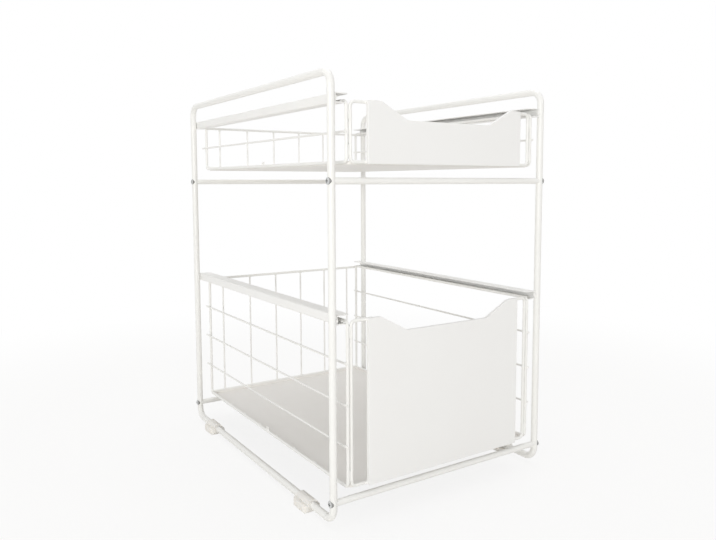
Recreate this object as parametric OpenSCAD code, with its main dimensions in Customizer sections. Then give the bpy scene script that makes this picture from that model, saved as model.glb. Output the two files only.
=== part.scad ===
// Two-tier pull out cabinet basket: an upright rod frame with four slide rails
// and two wire baskets that draw out to the front, each with a sheet front
// plate scooped at the top and a shallow sheet tray as its floor.
// Millimetres, +Z up, front towards -Y, origin under the middle of the part.

/* [Frame] */
// Overall width over the two side frames
frame_w = 300; // [240:5:420]
// Overall depth over the side frames
frame_d = 400; // [300:5:520]
// Diameter of the side frame rod
rod_d = 8; // [7:0.5:10]
// Bend radius of the side frame corners, on the rod's centreline
bend_r = 14; // [10:1:17]
// Diameter of the four crossbars
bar_d = 7; // [6:0.5:9]
// Height of the lower crossbars above the bottom rod, centre to centre
low_bar_up = 19.3; // [18:0.5:40]
// Free height between the lower rails and the middle crossbars
tier_gap = 130.5; // [60:5:220]
// Height from the top of the upper rails to the top of the frame
top_gap = 24.8; // [20:0.5:40]

/* [Screws and rivets] */
// Shank diameter of the crossbar screws
screw_d = 3.4; // [2.5:0.1:4]
// Length of the screw below its head
screw_len = 24; // [14:1:34]
// Diameter of the screw head
screw_head_d = 7.5; // [6:0.25:8.5]
// Height of the screw head beyond the rod
screw_head_t = 1.3; // [1.2:0.1:3]
// Radius of the dome on top of the screw head
screw_dome_r = 8; // [6:0.5:12]
// Width of each slot of the cross recess
recess_w = 1.1; // [0.8:0.1:1.4]
// Length of each slot of the cross recess
recess_len = 4.2; // [3:0.1:4.8]
// Depth of the cross recess
recess_t = 0.9; // [0.5:0.1:1]
// Free hole beyond the tip of the screw
tap_over = 2; // [1:0.5:4]
// Shank diameter of the rail rivets
rivet_d = 3; // [2.5:0.1:3.5]
// Head diameter of the rail rivets
rivet_head_d = 5.6; // [4.8:0.1:6.4]
// Height of the rivet head
rivet_head_t = 1.1; // [0.8:0.1:1.5]
// Radius of the dome on the rivet head
rivet_dome_r = 5; // [4:0.5:8]
// Depth of the rivet's shank in the post
rivet_len = 4.6; // [3:0.1:5.6]
// Radial clearance of screws and rivets in their holes
fit_gap = 0.05; // [0.02:0.01:0.1]

/* [Feet] */
// Width of a foot across the rod
foot_w = 22; // [16:0.5:26]
// Length of a foot along the rod
foot_len = 30; // [16:1:40]
// Thickness of the foot under the rod
foot_lift = 4; // [3:0.5:8]
// Wall of the clip round the rod
foot_wall = 2.4; // [1.6:0.1:3.4]
// Corner radius of the foot in plan
foot_r = 7; // [3:0.5:7]
// Height of the foot's shoulders above the rod's middle
foot_shoulder = 1; // [0:0.5:2]
// Radius along the foot's lower edges and its shoulders
foot_round = 3; // [1:0.5:3]
// Radius of the foot's ends in side view
foot_end_r = 4; // [2:0.5:5]
// Width of the clip's mouth on the inner side
foot_mouth = 5; // [3:0.5:6]
// Distance of a foot's middle from the post's centreline
foot_inset = 58; // [40:1:90]

/* [Slide rails] */
// Height of the rail channel
rail_h = 10; // [9.5:0.5:14]
// Width of the upper flange
rail_top_w = 16; // [15:0.5:19]
// Width of the lower flange that carries the runner
rail_low_w = 11; // [9:0.2:12]
// Sheet thickness of the rail
rail_t = 1; // [0.8:0.1:1.4]
// Inner radius of the rail's folds
rail_fold_r = 0.8; // [0.4:0.1:1.2]
// Overhang of the rail beyond the post's centreline, both ends
rail_over = 1.5; // [1.5:0.25:3]
// Corner radius of the upper flange in plan
rail_corner_r = 5; // [2:0.5:8]

/* [Basket wire] */
// Diameter of the wire loops round the sides, the front corners and the back
loop_d = 3.5; // [2.8:0.1:4]
// Bend radius of the loops, on the wire's centreline
loop_r = 5; // [4:0.5:9]
// Diameter of the thin wires that fill the sides and the back
fill_d = 2.3; // [1.6:0.1:2.7]
// Diameter of the runner wire that slides in the rail
runner_d = 3; // [2.4:0.1:3.4]
// Height of the upper basket, bottom wire to top wire
upper_h = 59.85; // [50:1:120]
// Height of the lower basket, bottom wire to top wire
lower_h = 173.75; // [100:1:260]
// Thin wires between top and bottom on the upper basket's sides
upper_fill = 1; // [1:1:2]
// Thin wires between top and bottom on the lower basket's sides
lower_fill = 3; // [2:1:5]
// Upright wires in a basket's back
back_fill = 6; // [3:1:9]
// Distance of the first upright from the side wall
back_margin = 19.7; // [12:0.5:40]
// Length of the thin wires beyond the rear upright
stub_len = 9; // [4:0.5:12]
// Length of the thin wires beyond the front upright
fill_lead = 2; // [1:0.5:3]
// Depth to which the thin wires are pressed into the loops they are welded on
weld_sink = 0.5; // [0.3:0.05:0.7]
// Height of the bent peak in the middle of each side's bottom wire
peak_h = 5; // [4:0.5:8]
// Wire diameter of the bent peak
peak_d = 1.8; // [1.2:0.1:2.2]
// Width of the peak at its foot
peak_w = 7.5; // [6:0.5:12]
// Bend radius at the top of the peak, on the wire's centreline
peak_r = 1.4; // [1.2:0.1:1.8]
// Length of the ties that join a side to its front corner
tie_len = 15; // [8:1:22]
// Distance of a tie's middle from the nearest end of the loop
tie_inset = 12; // [10:0.5:20]

/* [Front plate] */
// Distance from the front corner wire to the plate's edge
plate_gap = 17.6; // [12:0.2:30]
// Length of the corner wires' lap behind the plate's rim
lap_len = 8; // [5:0.5:12]
// Distance of the plates' faces ahead of the posts' centreline
plate_out = 6.2; // [5:0.1:8]
// Depth of the plate with its turned back rim
plate_depth = 4.2; // [3.6:0.1:6]
// Sheet thickness of the plate
plate_t = 1; // [0.8:0.1:1.4]
// Width of the raised part at each end
plate_ear = 14; // [8:0.5:30]
// Depth of the scoop
scoop_h = 18; // [10:0.5:26]
// Run of each sloping end of the scoop
scoop_run = 37.5; // [30:0.5:50]
// Radius of the bends at the top and foot of each slope
scoop_r = 8; // [5:0.5:14]
// Radius of the plate's outer corners
plate_r = 2; // [1.5:0.25:4]

/* [Tray] */
// Sheet thickness of the tray
tray_t = 1; // [0.7:0.1:1.6]
// Height of the tray's wall
tray_h = 3.5; // [3.5:0.25:14]
// Depth of the tray below the bottom wire's centre
tray_drop = 2.5; // [2:0.25:4]
// Corner radius of the tray in plan
tray_r = 5; // [3:0.5:12]

/* [Clearances] */
// Running gap between runner and rail
slide_gap = 0.05; // [0.03:0.01:0.1]
// Gap between a side loop and the rail's lower flange
loop_gap = 0.75; // [0.5:0.05:1.2]
// Gap between the side loop and the front corner wire
corner_gap = 0.9; // [0.6:0.1:1.6]
// Gap left at welded seats
weld_gap = 0.04; // [0.03:0.01:0.08]
// Gap between the lower basket and the lower crossbars
low_clear = 6.9; // [4:0.1:12]
// Gap between the upper basket and the middle crossbars
up_clear = 12.7; // [6:0.1:20]
// Distance of the basket's rear upright ahead of the rear posts' centreline
back_inset = 4; // [0:0.5:6]

/* [Hidden] */
$fn = 64;
steel_white = "#ECECE9";
sheet_white = "#E9E8E4";
rail_white = "#E4E4E0";
screw_grey = "#B8B8B5";
foot_white = "#DEDCD4";

// overshoot of bodies that only cut, and overlap of ones that fuse
cut = 1;
fuse = 0.4;
// bite of a bend into its tangent lines, so that they cross in one clear place
bite = 0.002;

// across the part
rod_x = frame_w / 2 - rod_d / 2;
web_x = rod_x - rod_d / 2;
panel_x = web_x - rail_low_w - loop_gap - loop_d / 2;
runner_x = panel_x + loop_d / 2 + weld_gap + runner_d / 2;
corner_x = panel_x - loop_d - corner_gap;
plate_w = 2 * (corner_x - plate_gap);

// along the part
post_pitch = frame_d - rod_d;
face_out = plate_out - plate_depth - weld_gap - loop_d / 2;
stub_out = stub_len - back_inset;
front_over = max(rod_d / 2, plate_out);
rear_over = max(rod_d / 2, stub_out);
post_f = -(post_pitch + rear_over - front_over) / 2;
post_b = post_f + post_pitch;
face_y = post_f - face_out;
plate_y = post_f - plate_out;
back_y = post_b - back_inset;
side_len = back_y - face_y;
rail_f = post_f - rail_over;
rail_len = post_pitch + 2 * rail_over;
weld_in = loop_r * (1 - cos(45));
back_wire_y = back_y - weld_in;
tray_f = face_y + loop_d / 2 + weld_gap;
tray_b = back_wire_y - loop_d / 2 - weld_gap;
tray_w = 2 * (panel_x - loop_d / 2 - weld_gap);

// heights
low_rod_z = foot_lift + rod_d / 2;
low_bar_z = low_rod_z + low_bar_up;
lower_z = low_bar_z + bar_d / 2 + low_clear + tray_drop;
lower_top = lower_z + lower_h;
lower_rail = lower_top - runner_d / 2 - slide_gap - rail_t;
mid_bar_z = lower_rail + rail_h + tier_gap + bar_d / 2;
upper_z = mid_bar_z + bar_d / 2 + up_clear + tray_drop;
upper_top = upper_z + upper_h;
upper_rail = upper_top - runner_d / 2 - slide_gap - rail_t;
top_rod_z = upper_rail + rail_h + top_gap - rod_d / 2;
rivet_up = rail_h / 2;

// ---- round bars and bends -------------------------------------------------

module rod_along_x(d, len) {
    rotate([0, 90, 0]) cylinder(d = d, h = len);
}

module rod_along_y(d, len) {
    rotate([-90, 0, 0]) cylinder(d = d, h = len);
}

// disc along X from the origin, its far side domed
module domed_disc(d, h, r) {
    rotate([0, 90, 0]) rotate_extrude()
        intersection() {
            square([d / 2, h]);
            translate([0, h - r]) circle(r = r);
        }
}

// a quarter or part bend in the XY plane about its own centre
module bend(r, d, from, sweep) {
    rotate([0, 0, from])
        rotate_extrude(angle = sweep)
            translate([r, 0]) circle(d = d);
}

// a straight piece in the XY plane from one point to another
module straight(a, b, d) {
    run = b - a;
    translate([a[0], a[1], 0])
        rotate([0, 0, atan2(run[1], run[0])])
            rod_along_x(d, norm(run));
}

// closed loop of rod, its centreline a rectangle with bent corners
module rod_loop(len, h, r, d) {
    straight([r, 0], [len - r, 0], d);
    straight([len, r], [len, h - r], d);
    straight([len - r, h], [r, h], d);
    straight([0, h - r], [0, r], d);
    translate([r, r, 0]) bend(r, d, 180, 90);
    translate([len - r, r, 0]) bend(r, d, 270, 90);
    translate([len - r, h - r, 0]) bend(r, d, 0, 90);
    translate([r, h - r, 0]) bend(r, d, 90, 90);
}

// stands a drawing made in XY up in the YZ plane
module upright() {
    rotate([90, 0, 90]) children();
}

module both_posts() {
    for (y = [post_f, post_b]) translate([0, y, 0]) children();
}

// ---- frame ----------------------------------------------------------------

// the right hand side frame; the left one is its mirror image
module side_frame() {
    color(steel_white)
    difference() {
        translate([rod_x, post_f, low_rod_z])
            upright() rod_loop(post_pitch, top_rod_z - low_rod_z, bend_r, rod_d);
        both_posts()
            for (z = [low_bar_z, mid_bar_z])
                translate([rod_x - rod_d, 0, z])
                    rod_along_x(screw_d + 2 * fit_gap, 2 * rod_d);
        both_posts()
            for (z = [lower_rail, upper_rail])
                translate([web_x - cut, 0, z + rivet_up])
                    rod_along_x(rivet_d + 2 * fit_gap, cut + rivet_len + fit_gap);
    }
}

// crossbar coped to the posts and tapped at both ends
module cross_bar(y, z) {
    bore = screw_len - rod_d + tap_over;
    color(steel_white)
    translate([0, y, z])
        difference() {
            translate([-rod_x, 0, 0]) rod_along_x(bar_d, 2 * rod_x);
            for (s = [-1, 1])
                translate([s * rod_x, 0, -bar_d]) cylinder(d = rod_d + 2 * fit_gap, h = 2 * bar_d);
            for (x = [-rod_x, rod_x - bore - rod_d / 2])
                translate([x, 0, 0]) rod_along_x(screw_d + 2 * fit_gap, bore + rod_d / 2);
        }
}

// screw with a domed head, a cupped seat and a cross recess, pointing to -X
module bar_screw() {
    head_x = rod_d / 2 + screw_head_t;
    difference() {
        domed_disc(screw_head_d, head_x, screw_dome_r);
        translate([0, 0, -screw_head_d])
            cylinder(d = rod_d + 2 * fit_gap, h = 2 * screw_head_d);
        for (turn = [0, 90])
            rotate([turn, 0, 0])
                translate([head_x - recess_t, -recess_len / 2, -recess_w / 2])
                    cube([recess_t + cut, recess_len, recess_w]);
    }
    translate([rod_d / 2 - screw_len, 0, 0]) rod_along_x(screw_d, screw_len + fuse);
}

module bar_screws() {
    color(screw_grey)
    both_posts()
        for (z = [low_bar_z, mid_bar_z])
            translate([rod_x, 0, z]) bar_screw();
}

// ---- feet -----------------------------------------------------------------

module round_rect(x, y, r) {
    translate([-x / 2 + r, -y / 2]) square([x - 2 * r, y]);
    translate([-x / 2, -y / 2 + r]) square([x, y - 2 * r]);
    for (i = [-1, 1], j = [-1, 1])
        translate([i * (x / 2 - r), j * (y / 2 - r)]) circle(r = r);
}

// right hand clip-on foot: a shouldered block rounded in all three views, with
// a C clip round the rod that opens towards the middle of the part
module foot(y) {
    clip_d = rod_d + 2 * fit_gap;
    block_h = low_rod_z + foot_shoulder;
    full_h = low_rod_z + clip_d / 2 + foot_wall;
    color(foot_white)
    translate([rod_x, y, 0])
        difference() {
            intersection() {
                linear_extrude(full_h) round_rect(foot_w, foot_len, foot_r);
                translate([0, foot_len / 2, 0]) rotate([90, 0, 0]) linear_extrude(foot_len)
                    union() {
                        translate([0, low_rod_z]) circle(d = clip_d + 2 * foot_wall);
                        translate([0, block_h / 2]) round_rect(foot_w, block_h, foot_round);
                    }
                translate([-foot_w / 2, 0, full_h / 2])
                    upright() linear_extrude(foot_w) round_rect(foot_len, full_h, foot_end_r);
            }
            translate([0, -foot_len, low_rod_z]) rod_along_y(clip_d, 2 * foot_len);
            translate([-foot_w, -foot_len, low_rod_z - foot_mouth / 2])
                cube([foot_w, 2 * foot_len, foot_mouth]);
        }
}

// ---- slide rails ----------------------------------------------------------

// section of the channel, web on the right, open to the left
module rail_section() {
    w = rail_top_w;
    q = rail_fold_r;
    r = rail_t + q;
    difference() {
        translate([-w, 0]) union() {
            square([w - r, rail_h]);
            translate([w - 2 * r, r]) square([2 * r, rail_h - 2 * r]);
            translate([w - r, r]) circle(r = r);
            translate([w - r, rail_h - r]) circle(r = r);
        }
        translate([-w - cut, rail_t]) square([w + cut - r, rail_h - 2 * rail_t]);
        translate([-2 * r, r]) square([2 * r - rail_t, rail_h - 2 * r]);
        for (y = [r, rail_h - r]) translate([-r, y]) circle(r = q);
        translate([-w - cut, -cut]) square([w + cut - rail_low_w, rail_h / 2 + cut]);
    }
}

// corner piece that rounds off the flange in plan
module corner_waste(r) {
    difference() {
        translate([-cut, -cut, 0]) cube([r + cut, r + cut, 2 * rail_t]);
        translate([r, r, -cut]) cylinder(r = r, h = 2 * (rail_t + cut));
    }
}

// right hand rail at one height
module rail(z) {
    color(rail_white)
    translate([web_x, rail_f, z])
        difference() {
            translate([0, rail_len, 0]) rotate([90, 0, 0]) linear_extrude(rail_len) rail_section();
            translate([-rail_top_w, 0, rail_h - 1.5 * rail_t]) corner_waste(rail_corner_r);
            translate([-rail_top_w, rail_len, rail_h - 1.5 * rail_t])
                mirror([0, 1, 0]) corner_waste(rail_corner_r);
            for (y = [rail_over, rail_over + post_pitch])
                translate([-2 * rail_t, y, rivet_up])
                    rod_along_x(rivet_d + 2 * fit_gap, 3 * rail_t);
        }
}

module rail_rivets() {
    color(rail_white)
    both_posts()
        for (z = [lower_rail, upper_rail])
            translate([web_x - rail_t, 0, z + rivet_up]) {
                mirror([1, 0, 0]) domed_disc(rivet_head_d, rivet_head_t, rivet_dome_r);
                rod_along_x(rivet_d, rail_t + rivet_len);
            }
}

// ---- baskets --------------------------------------------------------------

// right hand side wall: bent loop, thin wires welded across its outer side and
// the peak of the bottom wire
module side_wall(z, h, fills) {
    pitch = h / (fills + 1);
    fill_out = (loop_d + fill_d) / 2 - weld_sink;
    color(steel_white)
    translate([panel_x, face_y, z]) {
        upright() rod_loop(side_len, h, loop_r, loop_d);
        for (i = [1 : fills])
            translate([fill_out, -fill_lead, i * pitch])
                rod_along_y(fill_d, fill_lead + side_len + stub_len);
        translate([0, side_len / 2, 0]) upright() wire_peak(peak_h + loop_d / 2);
    }
}

// inverted V of thin wire, two legs and a tangent bend at the top
module wire_peak(h) {
    mid = h - peak_d / 2 - peak_r;
    half = peak_w / 2;
    lean = atan2(mid, half) + asin(peak_r / norm([half, mid]));
    top = [peak_r * sin(lean), mid + peak_r * cos(lean)];
    for (s = [-1, 1]) straight([s * half, 0], [s * top[0], top[1]], peak_d);
    translate([0, mid, 0]) bend(peak_r, peak_d, 90 - lean, 2 * lean);
}

// straight wire that lies beside the top of the side wall and runs in the rail
module runner(top) {
    color(steel_white)
    translate([runner_x, face_y + loop_r, top]) {
        rod_along_y(runner_d, side_len - 2 * loop_r);
        sphere(d = runner_d);
        translate([0, side_len - 2 * loop_r, 0]) sphere(d = runner_d);
    }
}

// bent wire of the front corner, its two arms lapped behind the plate's rim
module corner_wire(z, h) {
    arm = plate_gap + lap_len;
    color(steel_white)
    translate([corner_x, face_y, z]) rotate([90, 0, 180]) {
        straight([0, loop_r], [0, h - loop_r], loop_d);
        straight([loop_r, 0], [arm, 0], loop_d);
        straight([loop_r, h], [arm, h], loop_d);
        translate([loop_r, loop_r, 0]) bend(loop_r, loop_d, 180, 90);
        translate([loop_r, h - loop_r, 0]) bend(loop_r, loop_d, 90, 90);
    }
}

// short rods laid in the groove behind the side loop and the corner wire
module ties(z, h) {
    half = (loop_d + corner_gap) / 2;
    reach = (loop_d + fill_d) / 2 + weld_gap;
    back = sqrt(reach * reach - half * half);
    color(steel_white)
    for (zc = [z + tie_inset, z + h - tie_inset])
        translate([(panel_x + corner_x) / 2, face_y + back, zc - tie_len / 2])
            cylinder(d = fill_d, h = tie_len);
}

// outline of the plate seen from the front, drawn smaller all round by inset;
// its top edge drops on two tangent arcs and a straight slope to the scoop
module plate_outline(h, inset) {
    w = plate_w / 2 - inset;
    top = h - inset;
    r = plate_r - inset;
    // arc centres, common to the outline and to every inset of it
    c1 = [plate_w / 2 - plate_ear, h - scoop_r];
    c2 = [plate_w / 2 - plate_ear - scoop_run, h - scoop_h + scoop_r];
    gap = norm(c2 - c1);
    slope = asin(2 * scoop_r / gap) - atan2(c2[1] - c1[1], c1[0] - c2[0]);
    r1 = scoop_r - inset;
    r2 = scoop_r + inset;
    t1 = c1 + r1 * [-sin(slope), cos(slope)];
    t2 = c2 - r2 * [-sin(slope), cos(slope)];
    difference() {
        union() {
            translate([-w + r, inset]) square([2 * (w - r), top - inset]);
            translate([-w, inset + r]) square([2 * w, top - inset - 2 * r]);
            for (i = [-1, 1], y = [inset + r, top - r])
                translate([i * (w - r), y]) circle(r = r);
        }
        difference() {
            union() {
                polygon([
                    [c1[0], top], t1, t2, [c2[0], c2[1] - r2],
                    [-c2[0], c2[1] - r2], [-t2[0], t2[1]], [-t1[0], t1[1]], [-c1[0], top],
                    [-c1[0], h + cut], [c1[0], h + cut]
                ]);
                for (i = [-1, 1]) translate([i * c2[0], c2[1]]) circle(r = r2 + bite);
            }
            for (i = [-1, 1]) translate([i * c1[0], c1[1]]) circle(r = r1 + bite);
        }
    }
}

// pressed front plate: a flat face with a rim turned back all round its edge
module front_plate(z, h) {
    full = h + loop_d;
    color(sheet_white)
    translate([0, plate_y + plate_depth, z - loop_d / 2])
        rotate([90, 0, 0])
            difference() {
                linear_extrude(plate_depth) plate_outline(full, 0);
                translate([0, 0, -cut])
                    linear_extrude(plate_depth - plate_t + cut) plate_outline(full, plate_t);
            }
}

// back wall: two cross wires between the side loops, joined by uprights
module back_wall(z, h) {
    low = z + weld_in;
    high = z + h - weld_in;
    reach = panel_x - loop_d / 2 - weld_gap;
    first = panel_x - back_margin;
    color(steel_white)
    translate([0, back_wire_y, 0]) {
        for (zc = [low, high])
            translate([-reach, 0, zc]) rod_along_x(loop_d, 2 * reach);
        for (i = [0 : back_fill - 1])
            translate([-first + i * 2 * first / (back_fill - 1), 0, low])
                cylinder(d = fill_d, h = high - low);
    }
}

// shallow sheet tray that fills the bottom of the basket
module tray(z) {
    len = tray_b - tray_f;
    color(sheet_white)
    translate([0, (tray_f + tray_b) / 2, z - tray_drop])
        difference() {
            linear_extrude(tray_h) round_rect(tray_w, len, tray_r);
            translate([0, 0, tray_t]) linear_extrude(tray_h)
                round_rect(tray_w - 2 * tray_t, len - 2 * tray_t, tray_r - tray_t);
        }
}

module left() {
    mirror([1, 0, 0]) children();
}

// ---- sub-parts ------------------------------------------------------------

module left_side_frame() { left() side_frame(); }
module right_side_frame() { side_frame(); }
module front_middle_bar() { cross_bar(post_f, mid_bar_z); }
module back_middle_bar() { cross_bar(post_b, mid_bar_z); }
module front_lower_bar() { cross_bar(post_f, low_bar_z); }
module back_lower_bar() { cross_bar(post_b, low_bar_z); }
module left_bar_screws() { left() bar_screws(); }
module right_bar_screws() { bar_screws(); }
module front_left_foot() { left() foot(post_f + foot_inset); }
module front_right_foot() { foot(post_f + foot_inset); }
module back_left_foot() { left() foot(post_b - foot_inset); }
module back_right_foot() { foot(post_b - foot_inset); }
module upper_left_rail() { left() rail(upper_rail); }
module upper_right_rail() { rail(upper_rail); }
module lower_left_rail() { left() rail(lower_rail); }
module lower_right_rail() { rail(lower_rail); }
module left_rail_rivets() { left() rail_rivets(); }
module right_rail_rivets() { rail_rivets(); }

module upper_left_side() { left() side_wall(upper_z, upper_h, upper_fill); }
module upper_right_side() { side_wall(upper_z, upper_h, upper_fill); }
module upper_left_runner() { left() runner(upper_top); }
module upper_right_runner() { runner(upper_top); }
module upper_left_corner() { left() corner_wire(upper_z, upper_h); }
module upper_right_corner() { corner_wire(upper_z, upper_h); }
module upper_left_ties() { left() ties(upper_z, upper_h); }
module upper_right_ties() { ties(upper_z, upper_h); }
module upper_front_plate() { front_plate(upper_z, upper_h); }
module upper_back() { back_wall(upper_z, upper_h); }
module upper_tray() { tray(upper_z); }

module lower_left_side() { left() side_wall(lower_z, lower_h, lower_fill); }
module lower_right_side() { side_wall(lower_z, lower_h, lower_fill); }
module lower_left_runner() { left() runner(lower_top); }
module lower_right_runner() { runner(lower_top); }
module lower_left_corner() { left() corner_wire(lower_z, lower_h); }
module lower_right_corner() { corner_wire(lower_z, lower_h); }
module lower_left_ties() { left() ties(lower_z, lower_h); }
module lower_right_ties() { ties(lower_z, lower_h); }
module lower_front_plate() { front_plate(lower_z, lower_h); }
module lower_back() { back_wall(lower_z, lower_h); }
module lower_tray() { tray(lower_z); }

left_side_frame();
right_side_frame();
front_middle_bar();
back_middle_bar();
front_lower_bar();
back_lower_bar();
left_bar_screws();
right_bar_screws();
front_left_foot();
front_right_foot();
back_left_foot();
back_right_foot();
upper_left_rail();
upper_right_rail();
lower_left_rail();
lower_right_rail();
left_rail_rivets();
right_rail_rivets();
upper_left_side();
upper_right_side();
upper_left_runner();
upper_right_runner();
upper_left_corner();
upper_right_corner();
upper_left_ties();
upper_right_ties();
upper_front_plate();
upper_back();
upper_tray();
lower_left_side();
lower_right_side();
lower_left_runner();
lower_right_runner();
lower_left_corner();
lower_right_corner();
lower_left_ties();
lower_right_ties();
lower_front_plate();
lower_back();
lower_tray();
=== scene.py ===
import math
import random
import bpy
import bmesh
from mathutils import Matrix, Vector


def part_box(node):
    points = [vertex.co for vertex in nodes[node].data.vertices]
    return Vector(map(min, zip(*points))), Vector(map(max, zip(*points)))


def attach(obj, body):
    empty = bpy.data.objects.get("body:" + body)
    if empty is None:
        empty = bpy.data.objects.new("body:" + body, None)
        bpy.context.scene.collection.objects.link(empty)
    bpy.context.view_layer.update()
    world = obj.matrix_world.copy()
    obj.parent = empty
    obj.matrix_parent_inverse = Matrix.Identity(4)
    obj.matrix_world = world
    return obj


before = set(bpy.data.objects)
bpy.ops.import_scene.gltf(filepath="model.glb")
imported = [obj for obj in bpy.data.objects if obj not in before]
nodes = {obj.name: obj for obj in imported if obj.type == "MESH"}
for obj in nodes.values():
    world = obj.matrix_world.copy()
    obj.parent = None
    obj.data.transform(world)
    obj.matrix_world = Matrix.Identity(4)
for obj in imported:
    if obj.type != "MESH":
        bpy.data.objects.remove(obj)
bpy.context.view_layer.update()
scene = bpy.context.scene
mm = 0.001
print("frame loaded:", len(nodes), "nodes")


def linearColour(hexText):
    parts = [int(hexText[i:i + 2], 16) / 255 for i in (1, 3, 5)]
    return [p / 12.92 if p <= 0.04045 else ((p + 0.055) / 1.055) ** 2.4 for p in parts] + [1.0]


def addNode(tree, kind, inputs=None, **settings):
    node = tree.nodes.new(kind)
    for name, value in settings.items():
        setattr(node, name, value)
    for name, value in (inputs or {}).items():
        if isinstance(value, bpy.types.NodeSocket):
            tree.links.new(value, node.inputs[name])
        else:
            node.inputs[name].default_value = value
    return node


def newMaterial(name):
    material = bpy.data.materials.new(name)
    material.use_nodes = True
    material.node_tree.nodes.clear()
    return material, material.node_tree


def perMm(size):        # noise scale for a feature of this many millimetres
    return 1 / (size * mm)


noiseLow, noiseHigh = 0.3, 0.7      # most of a noise texture's values lie between these
sheenPerPeel = 3        # the gloss of a coat drifts over this many peel waves

# Polyester powder, sprayed dry on bare steel and baked: an even satin white whose film
# flows into a faint orange peel and drifts a little in tone where it lies thicker.
# Real peel waves are 1.5 to 3 mm long. They are drawn at 4 to 5 mm, or they would not show.
rodCoat = dict(white="#F3F3F0", thick="#EFEEEA", cloud=45, peel=4.0, peelDepth=0.035,
               glossy=0.30, dull=0.40, specular=0.5)
wireCoat = dict(white="#F3F3F0", thick="#EEEDE9", cloud=30, peel=4.0, peelDepth=0.03,
                glossy=0.30, dull=0.40, specular=0.5)
railCoat = dict(white="#F5F5F3", thick="#F2F1EE", cloud=40, peel=4.5, peelDepth=0.035,
                glossy=0.32, dull=0.42, specular=0.5)
plateCoat = dict(white="#F2F2F0", thick="#F0EFED", cloud=70, peel=5.0, peelDepth=0.03,
                 glossy=0.34, dull=0.42, specular=0.5)
trayCoat = dict(white="#F0EEEA", thick="#ECE9E4", cloud=60, peel=5.0, peelDepth=0.035,
                glossy=0.36, dull=0.46, specular=0.5)

# Where runner and rail slide on each other the coat is burnished: greyer, glossier, in streaks.
# The wear begins where the normal's Z is downFrom and is full at downTo. streakFrom and streakTo
# are noise values, and the other sizes are mm.
rubbed = dict(grey="#CFCDC8", roughness=0.2, streakAcross=0.8, streakAlong=30,
              streakFrom=0.42, streakTo=0.62, downFrom=-0.75, downTo=-0.95,
              trackHalf=0.8, flangeTop=1, flangeSlack=0.3)


def powderCoat(name, look, rub=None):
    material, tree = newMaterial(name)
    place = addNode(tree, "ShaderNodeTexCoord").outputs["Object"]
    clouds = addNode(tree, "ShaderNodeTexNoise", {
        "Vector": place, "Scale": perMm(look["cloud"]), "Detail": 2.0, "Roughness": 0.5})
    tone = addNode(tree, "ShaderNodeMix", {
        "Factor": clouds.outputs["Fac"], "A": linearColour(look["white"]),
        "B": linearColour(look["thick"])}, data_type="RGBA").outputs["Result"]
    sheen = addNode(tree, "ShaderNodeTexNoise", {
        "Vector": place, "Scale": perMm(look["peel"] * sheenPerPeel), "Detail": 3.0, "Roughness": 0.6})
    rough = addNode(tree, "ShaderNodeMapRange", {
        "Value": sheen.outputs["Fac"], "From Min": noiseLow, "From Max": noiseHigh,
        "To Min": look["glossy"], "To Max": look["dull"]}).outputs["Result"]
    peel = addNode(tree, "ShaderNodeTexNoise", {
        "Vector": place, "Scale": perMm(look["peel"]), "Detail": 1.0, "Roughness": 0.4})
    bump = addNode(tree, "ShaderNodeBump", {
        "Height": peel.outputs["Fac"], "Strength": 1.0, "Distance": look["peelDepth"] * mm})
    if rub:
        mask = rub(tree, place)
        tone = addNode(tree, "ShaderNodeMix", {
            "Factor": mask, "A": tone, "B": linearColour(rubbed["grey"])},
            data_type="RGBA").outputs["Result"]
        rough = addNode(tree, "ShaderNodeMix", {
            "Factor": mask, "A": rough, "B": rubbed["roughness"]}).outputs["Result"]
    shader = addNode(tree, "ShaderNodeBsdfPrincipled", {
        "Base Color": tone, "Roughness": rough, "Normal": bump.outputs["Normal"],
        "IOR": 1.5, "Specular IOR Level": look["specular"]})
    addNode(tree, "ShaderNodeOutputMaterial", {"Surface": shader.outputs["BSDF"]})
    return material


def streaks(tree, place):
    across, along = perMm(rubbed["streakAcross"]), perMm(rubbed["streakAlong"])
    stretched = addNode(tree, "ShaderNodeMapping", {"Vector": place, "Scale": [across, along, across]})
    noise = addNode(tree, "ShaderNodeTexNoise", {
        "Vector": stretched.outputs["Vector"], "Scale": 1.0, "Detail": 2.0})
    return addNode(tree, "ShaderNodeMapRange", {
        "Value": noise.outputs["Fac"], "From Min": rubbed["streakFrom"],
        "From Max": rubbed["streakTo"]}).outputs["Result"]


def rubUnderRunner(tree, place):
    normal = addNode(tree, "ShaderNodeNewGeometry").outputs["Normal"]
    down = addNode(tree, "ShaderNodeSeparateXYZ", {"Vector": normal}).outputs["Z"]
    facing = addNode(tree, "ShaderNodeMapRange", {
        "Value": down, "From Min": rubbed["downFrom"], "From Max": rubbed["downTo"]}).outputs["Result"]
    return addNode(tree, "ShaderNodeMath", {0: facing, 1: streaks(tree, place)},
                   operation="MULTIPLY").outputs["Value"]


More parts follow.
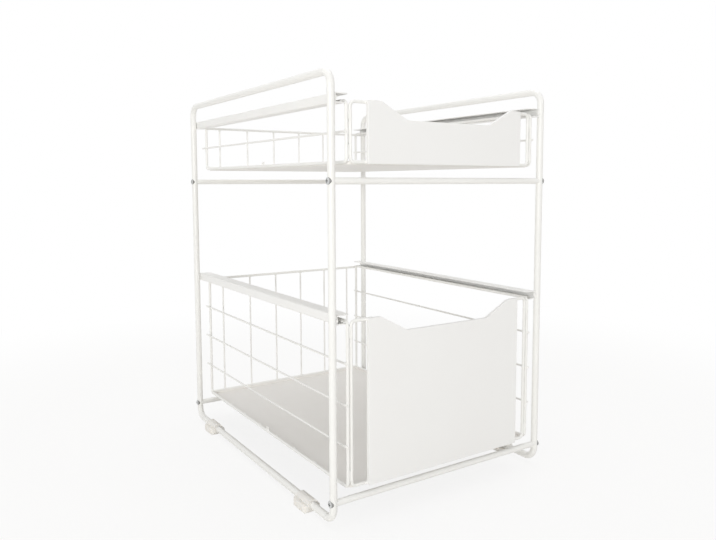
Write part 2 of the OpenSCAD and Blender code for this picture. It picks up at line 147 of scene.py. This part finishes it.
def rubOnRail(tree, place):     # only on the runner's track, on top of each rail's lower flange
    runnerLow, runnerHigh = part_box("upper_right_runner")
    railLow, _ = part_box("lower_right_rail")
    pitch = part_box("upper_right_rail")[0].z - railLow.z
    middle = (runnerLow.x + runnerHigh.x) / 2
    parts = addNode(tree, "ShaderNodeSeparateXYZ", {"Vector": place}).outputs
    outward = addNode(tree, "ShaderNodeMath", {0: parts["X"]}, operation="ABSOLUTE").outputs["Value"]
    onTrack = addNode(tree, "ShaderNodeMath", {0: outward, 1: middle, 2: rubbed["trackHalf"] * mm},
                      operation="COMPARE").outputs["Value"]
    above = addNode(tree, "ShaderNodeMath", {0: parts["Z"], 1: railLow.z},
                    operation="SUBTRACT").outputs["Value"]
    level = addNode(tree, "ShaderNodeMath", {0: above, 1: pitch}, operation="MODULO").outputs["Value"]
    onFlange = addNode(tree, "ShaderNodeMath", {
        0: level, 1: rubbed["flangeTop"] * mm, 2: rubbed["flangeSlack"] * mm},
        operation="COMPARE").outputs["Value"]
    both = addNode(tree, "ShaderNodeMath", {0: onTrack, 1: onFlange},
                   operation="MULTIPLY").outputs["Value"]
    return addNode(tree, "ShaderNodeMath", {0: both, 1: streaks(tree, place)},
                   operation="MULTIPLY").outputs["Value"]


# Zinc electroplated on cold headed steel: a cool silver grey metal, dull and slightly mottled,
# with painted shade and dark reflection round the rim and painted shade on the floor of the cross
# recess. rimFrom, rimTo and flat say how far the surface faces outward; deep and deepest are mm.
screwZinc = dict(zinc="#E0E1E1", mottle="#C8C9C8", spot=1.2, rim="#949492", rimFrom=0.68, rimTo=0.92,
                 floor="#66645F", deep=0.75, deepest=0.9, flat=0.95,
                 glossy=0.26, dull=0.42, grain=0.5, grainDepth=0.012)


def zincPlate(name, look):
    material, tree = newMaterial(name)
    place = addNode(tree, "ShaderNodeTexCoord").outputs["Object"]
    spots = addNode(tree, "ShaderNodeTexNoise", {
        "Vector": place, "Scale": perMm(look["spot"]), "Detail": 3.0, "Roughness": 0.6})
    tone = addNode(tree, "ShaderNodeMix", {
        "Factor": spots.outputs["Fac"], "A": linearColour(look["zinc"]),
        "B": linearColour(look["mottle"])}, data_type="RGBA")
    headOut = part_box("right_bar_screws")[1].x
    across = addNode(tree, "ShaderNodeSeparateXYZ", {"Vector": place}).outputs["X"]
    outward = addNode(tree, "ShaderNodeMath", {0: across}, operation="ABSOLUTE").outputs["Value"]
    sunk = addNode(tree, "ShaderNodeMapRange", {
        "Value": outward, "From Min": headOut - look["deep"] * mm,
        "From Max": headOut - look["deepest"] * mm})
    normal = addNode(tree, "ShaderNodeNewGeometry").outputs["Normal"]
    turn = addNode(tree, "ShaderNodeSeparateXYZ", {"Vector": normal}).outputs["X"]
    faceOut = addNode(tree, "ShaderNodeMath", {0: turn}, operation="ABSOLUTE").outputs["Value"]
    onFloor = addNode(tree, "ShaderNodeMath", {0: faceOut, 1: look["flat"]}, operation="GREATER_THAN")
    # painted shade: the floor of the cross recess is drawn dark
    paintedRecessShade = addNode(tree, "ShaderNodeMath", {
        0: sunk.outputs["Result"], 1: onFloor.outputs["Value"]}, operation="MULTIPLY")
    # painted shade and dark reflection: the rim, where the head turns sideways, is drawn darker
    rimShadeFade = addNode(tree, "ShaderNodeMapRange", {
        "Value": faceOut, "From Min": look["rimFrom"], "From Max": look["rimTo"]})
    headWithRimShade = addNode(tree, "ShaderNodeMix", {
        "Factor": rimShadeFade.outputs["Result"], "A": linearColour(look["rim"]),
        "B": tone.outputs["Result"]}, data_type="RGBA")
    colour = addNode(tree, "ShaderNodeMix", {
        "Factor": paintedRecessShade.outputs["Value"], "A": headWithRimShade.outputs["Result"],
        "B": linearColour(look["floor"])}, data_type="RGBA")
    rough = addNode(tree, "ShaderNodeMapRange", {
        "Value": spots.outputs["Fac"], "From Min": noiseLow, "From Max": noiseHigh,
        "To Min": look["glossy"], "To Max": look["dull"]})
    grain = addNode(tree, "ShaderNodeTexNoise", {
        "Vector": place, "Scale": perMm(look["grain"]), "Detail": 2.0})
    bump = addNode(tree, "ShaderNodeBump", {
        "Height": grain.outputs["Fac"], "Strength": 1.0, "Distance": look["grainDepth"] * mm})
    shader = addNode(tree, "ShaderNodeBsdfPrincipled", {
        "Base Color": colour.outputs["Result"], "Metallic": 1.0,
        "Roughness": rough.outputs["Result"], "Normal": bump.outputs["Normal"]})
    addNode(tree, "ShaderNodeOutputMaterial", {"Surface": shader.outputs["BSDF"]})
    return material


# Low density polyethylene, injection moulded without pigment: milky, waxy, light passes a
# few millimetres in, and the spark eroded mould leaves a fine matt grain.
footPlastic = dict(milk="#F1EFEA", warm="#E9E5DE", cloud=14, grain=1.2, grainDepth=0.02,
                   glossy=0.42, dull=0.55, depth=5, scatter=0.35, redToBlue=[1.0, 0.95, 0.88])


def mouldedPolyethylene(name, look):
    material, tree = newMaterial(name)
    place = addNode(tree, "ShaderNodeTexCoord").outputs["Object"]
    clouds = addNode(tree, "ShaderNodeTexNoise", {
        "Vector": place, "Scale": perMm(look["cloud"]), "Detail": 2.0})
    tone = addNode(tree, "ShaderNodeMix", {
        "Factor": clouds.outputs["Fac"], "A": linearColour(look["milk"]),
        "B": linearColour(look["warm"])}, data_type="RGBA")
    grain = addNode(tree, "ShaderNodeTexNoise", {
        "Vector": place, "Scale": perMm(look["grain"]), "Detail": 3.0, "Roughness": 0.6})
    rough = addNode(tree, "ShaderNodeMapRange", {
        "Value": grain.outputs["Fac"], "From Min": noiseLow, "From Max": noiseHigh,
        "To Min": look["glossy"], "To Max": look["dull"]})
    bump = addNode(tree, "ShaderNodeBump", {
        "Height": grain.outputs["Fac"], "Strength": 1.0, "Distance": look["grainDepth"] * mm})
    shader = addNode(tree, "ShaderNodeBsdfPrincipled", {
        "Base Color": tone.outputs["Result"], "Roughness": rough.outputs["Result"],
        "Normal": bump.outputs["Normal"], "IOR": 1.51,
        "Subsurface Weight": look["scatter"], "Subsurface Scale": look["depth"] * mm,
        "Subsurface Radius": look["redToBlue"]})
    addNode(tree, "ShaderNodeOutputMaterial", {"Surface": shader.outputs["BSDF"]})
    return material


coatOnRod = powderCoat("polyester_powder_coat_on_bent_rod", rodCoat)
coatOnWire = powderCoat("polyester_powder_coat_on_welded_wire", wireCoat)
coatOnRunner = powderCoat("polyester_powder_coat_burnished_under_runner", wireCoat, rubUnderRunner)
coatOnRail = powderCoat("polyester_powder_coat_on_folded_rail", railCoat, rubOnRail)
coatOnRivet = powderCoat("polyester_powder_coat_on_rivet", railCoat)
coatOnPlate = powderCoat("polyester_powder_coat_on_pressed_plate", plateCoat)
coatOnTray = powderCoat("polyester_powder_coat_on_tray_sheet", trayCoat)
zincOnScrew = zincPlate("zinc_plated_cold_headed_steel", screwZinc)
milkyFoot = mouldedPolyethylene("natural_polyethylene_injection_moulded", footPlastic)


def finishFor(name):
    if "screws" in name:
        return zincOnScrew
    if "foot" in name:
        return milkyFoot
    if "rivets" in name:
        return coatOnRivet
    if name.endswith("_rail"):
        return coatOnRail
    if name.endswith("_tray"):
        return coatOnTray
    if name.endswith("_plate"):
        return coatOnPlate
    if name.endswith("_runner"):
        return coatOnRunner
    if "frame" in name or name.endswith("_bar"):
        return coatOnRod
    return coatOnWire


for name, obj in nodes.items():
    obj.data.materials.clear()
    obj.data.materials.append(finishFor(name))
print("materials on every node")


# Sheared sheet, cut wire and moulded plastic have no sharp edge: each gets a small round, in mm.
edgeRound = {"front_plate": 0.45, "tray": 0.3, "rivets": 0.35, "ties": 0.4, "bar": 0.2, "foot": 0.8}
edgeWork = dict(seam=0.001, flatWithin=0.5, steps=3, sharperThan=35, shadeWeight=60)    # mm, degrees


def roundEdges(obj, width, work):
    weld = obj.modifiers.new("joinSeams", "WELD")
    weld.merge_threshold = work["seam"] * mm
    flat = obj.modifiers.new("wholeFaces", "DECIMATE")
    flat.decimate_type = "DISSOLVE"
    flat.angle_limit = math.radians(work["flatWithin"])
    bevel = obj.modifiers.new("roundEdges", "BEVEL")
    bevel.width = width * mm
    bevel.segments = work["steps"]
    bevel.limit_method = "ANGLE"
    bevel.angle_limit = math.radians(work["sharperThan"])
    shade = obj.modifiers.new("evenShade", "WEIGHTED_NORMAL")
    shade.keep_sharp = False
    shade.weight = work["shadeWeight"]


for name, obj in nodes.items():
    for ending, width in edgeRound.items():
        if name.endswith(ending):
            roundEdges(obj, width, edgeWork)
print("edges rounded")


# Resistance welds between wires: the coat flows round each joint as a small lumpy fillet.
alongX, alongY, alongZ = (1, 0, 0), (0, 1, 0), (0, 0, 1)
anyTurn = (0, 6.28)     # radians, so that no two lumps are turned alike


# ring a little out of round: two lobes, and three more at half the strength
def lumpRing(bm, centre, across, up, radius, sides, wobble, turn):
    ring = []
    for k in range(sides):
        a = 2 * math.pi * k / sides
        r = radius * (1 + wobble * math.sin(2 * a + turn) + 0.5 * wobble * math.sin(3 * a - turn))
        ring.append(bm.verts.new(centre + (across * math.cos(a) + up * math.sin(a)) * r))
    return ring


# closed turned lump: profile holds pairs of distance along the axis and radius
def turnedShape(bm, start, axis, profile, sides, wobble, turn, squeeze=(1, 1)):
    axis = Vector(axis).normalized()
    nearlyUpright = abs(axis.z) > 0.9
    across = Vector(alongX) if nearlyUpright else axis.cross(Vector(alongZ))
    across = (across - axis * across.dot(axis)).normalized()
    up = axis.cross(across).normalized()
    across, up = across * squeeze[0], up * squeeze[1]
    rings = [lumpRing(bm, Vector(start) + axis * s, across, up, r, sides, wobble, turn)
             for s, r in profile]
    for low, high in zip(rings, rings[1:]):
        for k in range(sides):
            bm.faces.new((low[k], low[(k + 1) % sides], high[(k + 1) % sides], high[k]))
    for ring, flip in ((rings[0], True), (rings[-1], False)):
        middle = bm.verts.new(sum((v.co for v in ring), Vector()) / sides)
        for k in range(sides):
            pair = (ring[k], ring[(k + 1) % sides])
            bm.faces.new((pair[1], pair[0], middle) if flip else (pair[0], pair[1], middle))


def newPiece(name, bm, material, body):
    bmesh.ops.recalc_face_normals(bm, faces=bm.faces)
    mesh = bpy.data.meshes.new(name)
    bm.to_mesh(mesh)
    bm.free()
    mesh.shade_smooth()
    obj = bpy.data.objects.new(name, mesh)
    scene.collection.objects.link(obj)
    obj.data.materials.append(material)
    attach(obj, body)


# lengths in mm; bury and foot are shares of the host's radius, and tip of the leaving wire's
collar = dict(reach=2.2, reachSpread=(0.9, 1.1), rise=0.85, riseSpread=(0.85, 1.15), steps=5,
              sides=18, wobble=0.05, bury=0.6, foot=0.9, skin=0.04, tip=0.9, tipLength=0.25)


# fillet round a wire that leaves another, its host: at lies on the host's centreline
def weldCollar(bm, rng, at, axis, hostRadius, wireRadius, rise=1.0):
    lift = collar["rise"] * rise * rng.uniform(*collar["riseSpread"])
    reach = collar["reach"] * rng.uniform(*collar["reachSpread"])
    foot = hostRadius * collar["foot"]
    profile = [(hostRadius * collar["bury"] * mm, (wireRadius + lift) * mm)]
    for k in range(collar["steps"] + 1):
        t = k / collar["steps"]
        radius = wireRadius + collar["skin"] + lift * (1 - t) ** 2
        profile.append(((foot + reach * t) * mm, radius * mm))
    profile.append(((foot + reach + collar["tipLength"]) * mm, wireRadius * collar["tip"] * mm))
    turnedShape(bm, at, axis, profile, collar["sides"], collar["wobble"], rng.uniform(*anyTurn))


# fullness is the power of the sine along the bead: the nearer to 0, the blunter its ends
bead = dict(steps=8, sides=14, wobble=0.06, lengthSpread=(0.88, 1.08), fullness=0.7, thinnest=0.05)


# long lump that lies in the groove between two pieces; size is in mm
def weldBead(bm, rng, at, axis, size):
    length, halfWidth, halfHeight = size
    half = length / 2 * rng.uniform(*bead["lengthSpread"])
    profile = []
    for k in range(bead["steps"] + 1):
        a = math.pi * k / bead["steps"]
        radius = max(bead["thinnest"], math.sin(a) ** bead["fullness"])
        profile.append((half * -math.cos(a) * mm, radius * mm))
    turnedShape(bm, at, axis, profile, bead["sides"], bead["wobble"], rng.uniform(*anyTurn),
                squeeze=(halfWidth, halfHeight))


# sizes in mm: a bead is (length, half width, half height) along its own groove, and Out, In, Up
# and Forward shift its middle that way
welds = dict(runner=(6.0, 1.3, 0.9), runnerCount=7, runnerUp=0.7,
             tray=(7.5, 1.15, 1.2), trayPitch=48.6, trayOut=0.55, trayUp=0.95,
             crossing=(4.6, 1.35, 1.75), crossingOut=0.25,
             tieFront=(13.5, 1.15, 0.85), tieFrontForward=0.45,
             tieBack=(3.5, 0.75, 0.75), tieBackForward=0.3, tieStep=5, tieSide=1.35,
             lap=(3.4, 1.0, 1.65), lapIn=0.4,
             peakHalf=3.75, peakRadius=0.9, peakLean=0.45, peakHost=0.9,
             uprights=6, uprightMargin=19.7, buttRise=0.6, peakRise=0.7)


def basketWelds(level, fills, seed):
    rng = random.Random(seed)
    bm, tray = bmesh.new(), bmesh.new()
    sideLow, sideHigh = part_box(level + "_right_side")
    runnerLow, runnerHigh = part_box(level + "_right_runner")
    cornerLow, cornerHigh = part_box(level + "_right_corner")
    _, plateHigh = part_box(level + "_front_plate")
    backLow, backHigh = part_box(level + "_back")
    _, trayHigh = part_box(level + "_tray")
    tieLow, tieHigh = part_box(level + "_right_ties")
    loopR = (cornerHigh.y - cornerLow.y) / 2 / mm       # thick wire, in millimetres
    fillR = (tieHigh.x - tieLow.x) / 2 / mm             # thin wire
    runnerR = (runnerHigh.z - runnerLow.z) / 2 / mm
    panelX = sideLow.x + loopR * mm
    bottomZ = sideLow.z + loopR * mm
    topZ = sideHigh.z - loopR * mm
    frontY = (cornerLow.y + cornerHigh.y) / 2
    bend = runnerLow.y + runnerR * mm - frontY          # bend radius of the loops
    rearY = runnerHigh.y - runnerR * mm + bend
    middleY = (frontY + rearY) / 2
    backY = (backLow.y + backHigh.y) / 2
    outerX = panelX + loopR * mm
    tieX = (tieLow.x + tieHigh.x) / 2
    tieY = (tieLow.y + tieHigh.y) / 2
    tieHalf = welds["tieFront"][0] / 2 * mm
    for s in (-1, 1):
        for i in range(1, fills + 1):       # thin wires laid across the loop's uprights
            z = bottomZ + (topZ - bottomZ) * i / (fills + 1)
            for y in (frontY, rearY):
                at = (s * (outerX + welds["crossingOut"] * mm), y, z)
                weldBead(bm, rng, at, alongY, welds["crossing"])
        for z in (backLow.z + loopR * mm, backHigh.z - loopR * mm):
            weldCollar(bm, rng, (s * panelX, backY, z), (-s, 0, 0), loopR, loopR, rise=welds["buttRise"])
        for turn in (-1, 1):
            at = (s * panelX, middleY + turn * welds["peakHalf"] * mm, bottomZ)
            weldCollar(bm, rng, at, (0, -turn * welds["peakLean"], 1), loopR * welds["peakHost"],
                       welds["peakRadius"], rise=welds["peakRise"])
        for z in (bottomZ, topZ):           # the arms' laps on the rim's rear edge
            at = (s * (plateHigh.x - welds["lapIn"] * mm), plateHigh.y, z)
            weldBead(bm, rng, at, alongX, welds["lap"])
        for k in range(welds["runnerCount"]):
            t = (k + 0.5) / welds["runnerCount"]
            y = runnerLow.y + (runnerHigh.y - runnerLow.y) * t
            weldBead(bm, rng, (s * outerX, y, topZ + welds["runnerUp"] * mm), alongY, welds["runner"])
        for middleZ in (tieLow.z + tieHalf, tieHigh.z - tieHalf):
            at = (s * tieX, frontY - welds["tieFrontForward"] * mm, middleZ)
            weldBead(bm, rng, at, alongZ, welds["tieFront"])
            for dz in (-1, 1):
                for dx in (-1, 1):
                    at = (s * tieX + dx * welds["tieSide"] * mm, tieY - welds["tieBackForward"] * mm,
                          middleZ + dz * welds["tieStep"] * mm)
                    weldBead(bm, rng, at, alongZ, welds["tieBack"])
        pitch = welds["trayPitch"] * mm
        half = int((rearY - frontY) / 2 / pitch)
        for k in range(-half, half):
            at = (s * (trayHigh.x + welds["trayOut"] * mm), middleY + (k + 0.5) * pitch,
                  bottomZ + welds["trayUp"] * mm)
            weldBead(tray, rng, at, alongY, welds["tray"])
    first = panelX - welds["uprightMargin"] * mm
    for i in range(welds["uprights"]):
        x = -first + i * 2 * first / (welds["uprights"] - 1)
        weldCollar(bm, rng, (x, backY, backLow.z + loopR * mm), alongZ, loopR, fillR)
        weldCollar(bm, rng, (x, backY, backHigh.z - loopR * mm), (0, 0, -1), loopR, fillR)
    newPiece(level + "_wire_welds", bm, coatOnWire, level + "_basket")
    newPiece(level + "_tray_welds", tray, coatOnWire, level + "_basket")


basketWelds("upper", fills=1, seed=11)
basketWelds("lower", fills=3, seed=23)
print("welds made")


def seenDirectly(tree):     # camera, mirror and clear rays: they meet the plain white backdrop
    rays = addNode(tree, "ShaderNodeLightPath").outputs
    first = addNode(tree, "ShaderNodeMath", {0: rays["Is Camera Ray"], 1: rays["Is Glossy Ray"]},
                    operation="MAXIMUM")
    return addNode(tree, "ShaderNodeMath", {0: first.outputs["Value"], 1: rays["Is Transmission Ray"]},
                   operation="MAXIMUM").outputs["Value"]


# share is how much of the paper near the object is plain white, and the rest of it shows the
# shadow; past fadeTo metres it is all white
floorLook = dict(radius=6.0, colour="#ECEAE6", share=0.84, fadeFrom=0.45, fadeTo=1.1, spokes=72)


def makeFloor(look):
    bm = bmesh.new()
    bmesh.ops.create_circle(bm, cap_ends=True, radius=look["radius"], segments=look["spokes"])
    mesh = bpy.data.meshes.new("studioFloor")
    bm.to_mesh(mesh)
    bm.free()
    floor = bpy.data.objects.new("studioFloor", mesh)
    scene.collection.objects.link(floor)
    material, tree = newMaterial("matt_white_paper_sweep")
    place = addNode(tree, "ShaderNodeNewGeometry").outputs["Position"]
    away = addNode(tree, "ShaderNodeVectorMath", {0: place}, operation="LENGTH").outputs["Value"]
    fade = addNode(tree, "ShaderNodeMapRange", {
        "Value": away, "From Min": look["fadeFrom"], "From Max": look["fadeTo"],
        "To Min": look["share"], "To Max": 1.0}, interpolation_type="SMOOTHSTEP")
    share = addNode(tree, "ShaderNodeMath", {0: seenDirectly(tree), 1: fade.outputs["Result"]},
                    operation="MULTIPLY")
    paper = addNode(tree, "ShaderNodeBsdfDiffuse", {"Color": linearColour(look["colour"])})
    white = addNode(tree, "ShaderNodeEmission", {"Color": [1, 1, 1, 1], "Strength": 1.0})
    mix = addNode(tree, "ShaderNodeMixShader", {
        0: share.outputs["Value"], 1: paper.outputs["BSDF"], 2: white.outputs["Emission"]})
    addNode(tree, "ShaderNodeOutputMaterial", {"Surface": mix.outputs["Shader"]})
    floor.data.materials.append(material)


worldLook = dict(ambient="#F7F7F8", strength=0.60)


def makeWorld(look):
    world = bpy.data.worlds.new("studioWorld")
    world.use_nodes = True
    tree = world.node_tree
    tree.nodes.clear()
    soft = addNode(tree, "ShaderNodeBackground", {
        "Color": linearColour(look["ambient"]), "Strength": look["strength"]})
    white = addNode(tree, "ShaderNodeBackground", {"Color": [1, 1, 1, 1], "Strength": 1.0})
    mix = addNode(tree, "ShaderNodeMixShader", {
        0: seenDirectly(tree), 1: soft.outputs["Background"], 2: white.outputs["Background"]})
    addNode(tree, "ShaderNodeOutputWorld", {"Surface": mix.outputs["Shader"]})
    scene.world = world


# size is width and height; the low strip shines level into the open sides of the rails
softboxes = {
    "keyFromAboveLeft": dict(place=(-1.8, -1.0, 1.8), size=(1.6, 1.6), watts=2, tint="#FFFEFB"),
    "lowStripFromFrontLeft": dict(place=(-1.75, -1.65, 0.49), size=(2.0, 0.28), watts=22, tint="#FFFFFF"),
    "fillFromFrontRight": dict(place=(1.5, -2.0, 0.9), size=(1.8, 1.8), watts=4, tint="#FFFFFF"),
    "topSheet": dict(place=(0.2, 0.3, 2.4), size=(2.2, 2.2), watts=20, tint="#FFFFFF"),
}
lampTarget = (0, 0, 0.23)       # the middle of the object


def makeLamps(boxes, target):
    for name, look in boxes.items():
        light = bpy.data.lights.new(name, "AREA")
        light.shape = "RECTANGLE"
        light.size, light.size_y = look["size"]
        light.energy = look["watts"]
        light.color = linearColour(look["tint"])[:3]
        lamp = bpy.data.objects.new(name, light)
        scene.collection.objects.link(lamp)
        lamp.location = look["place"]
        lamp.rotation_euler = (Vector(target) - lamp.location).to_track_quat("-Z", "Y").to_euler()


viewpoint = dict(place=(-0.48531, -0.77465, 0.35328), turn=-33.598, pitch=84.908, roll=-0.1114,
                 lens=34.307, shiftX=-0.01697, shiftY=-0.03658, nearest=0.01)


def makeCamera(look):
    data = bpy.data.cameras.new("camera")
    data.lens = look["lens"]
    data.shift_x = look["shiftX"]
    data.shift_y = look["shiftY"]
    data.clip_start = look["nearest"]
    camera = bpy.data.objects.new("camera", data)
    scene.collection.objects.link(camera)
    turn = (Matrix.Rotation(math.radians(look["turn"]), 4, "Z")
            @ Matrix.Rotation(math.radians(look["pitch"]), 4, "X")
            @ Matrix.Rotation(math.radians(look["roll"]), 4, "Z"))
    camera.matrix_world = Matrix.Translation(look["place"]) @ turn
    scene.camera = camera


makeFloor(floorLook)
makeWorld(worldLook)
makeLamps(softboxes, lampTarget)
makeCamera(viewpoint)
scene.view_settings.view_transform = "Standard"
print("stage, light and camera ready")
